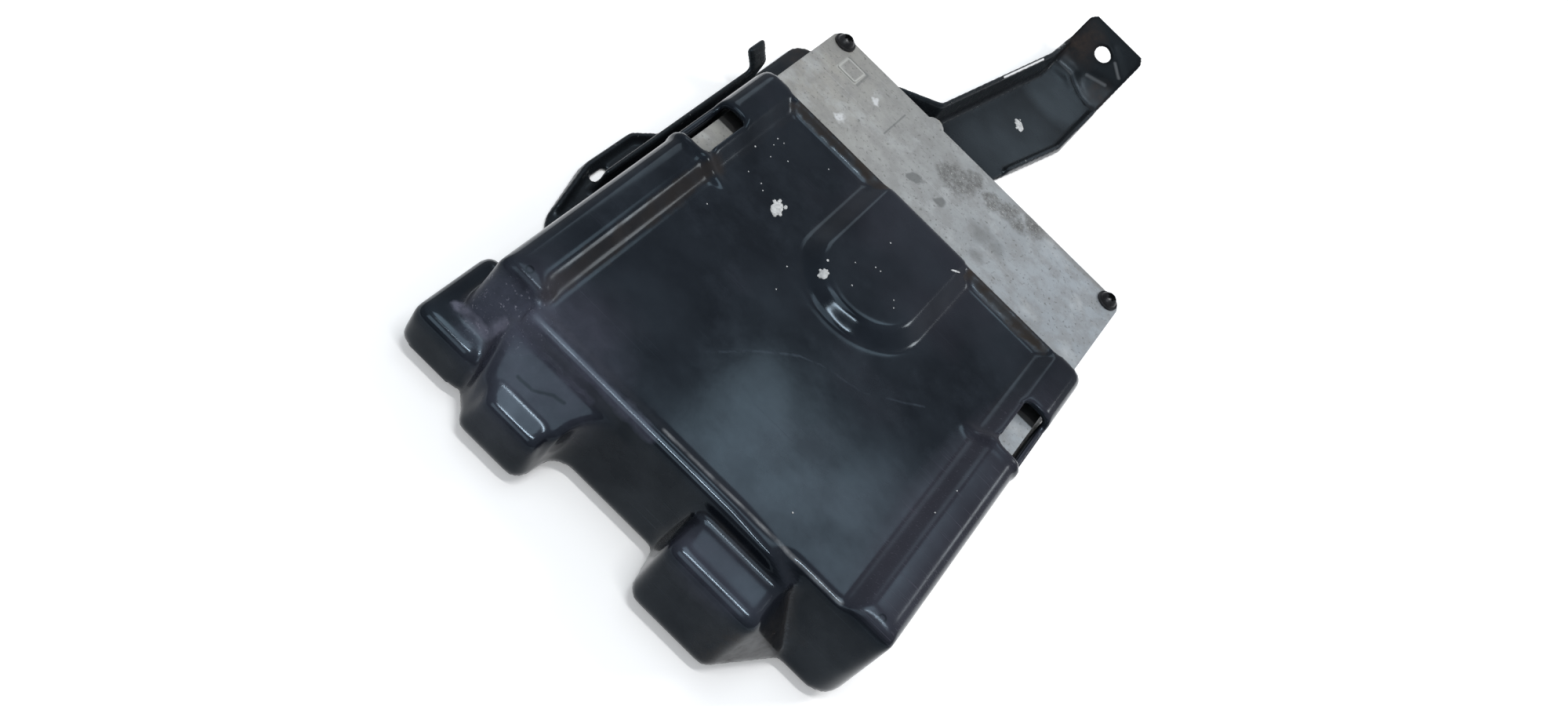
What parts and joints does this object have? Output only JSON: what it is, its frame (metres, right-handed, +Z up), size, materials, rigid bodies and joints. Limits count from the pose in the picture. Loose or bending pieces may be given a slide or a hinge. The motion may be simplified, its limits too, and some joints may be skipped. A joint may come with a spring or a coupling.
{
  "type": "engine control unit",
  "caption": "Sealed flat cast case with a plug header, under a moulded protective cover with rails and hoods, on a pressed sheet bracket with a long bolt-on arm.",
  "frame": {"origin": "On the underside of the bracket's flat base, below the middle of the case's width and 45 mm behind the case's front face.", "axes": "+X across the case to the right, seen from above with the plug end in front; +Y from the plug end to the arm's tip; +Z up from the bracket through the case to the cover."},
  "size_m": [0.165, 0.384, 0.0408],
  "materials": {
    "cover_plastic": "glossy blue-black moulding with scuffs and paint specks",
    "case_aluminium": "satin casting with stains",
    "plate_aluminium": "plain pressed sheet",
    "bracket_paint": "satin black paint on steel sheet",
    "screw_black": "black coated steel",
    "screw_steel": "plain zinc-bright steel",
    "vent_plastic": "cream moulding",
    "seal_rubber": "matte sealing rubber",
    "header_plastic": "black moulding",
    "pin_brass": "tinned brass",
    "board_laminate": "green lacquered laminate",
    "chip_plastic": "black moulded package",
    "pad_silicone": "soft thermal pad",
    "capacitor_sleeve": "coated can",
    "coil_ferrite": "sintered core",
    "crystal_steel": "drawn can"
  },
  "bodies": {
    "root": {"protective_cover": "cover_plastic", "case": "case_aluminium", "base_plate": "plate_aluminium", "base_seal": "seal_rubber", "case_screws": "screw_black", "vent_plug": "vent_plastic", "circuit_board": "board_laminate", "plug_header": "header_plastic", "header_seal": "seal_rubber", "left_pins": "pin_brass", "right_pins": "pin_brass", "microcontroller": "chip_plastic", "memory_chip": "chip_plastic", "driver_chips": "chip_plastic", "thermal_pads": "pad_silicone", "power_transistors": "chip_plastic", "capacitors": "capacitor_sleeve", "coil": "coil_ferrite", "crystal": "crystal_steel", "pressure_sensor": "chip_plastic", "board_screws": "screw_steel", "bracket": "bracket_paint", "clinch_nuts": "screw_steel", "bracket_screws": "screw_steel"}
  },
  "joints": []
}
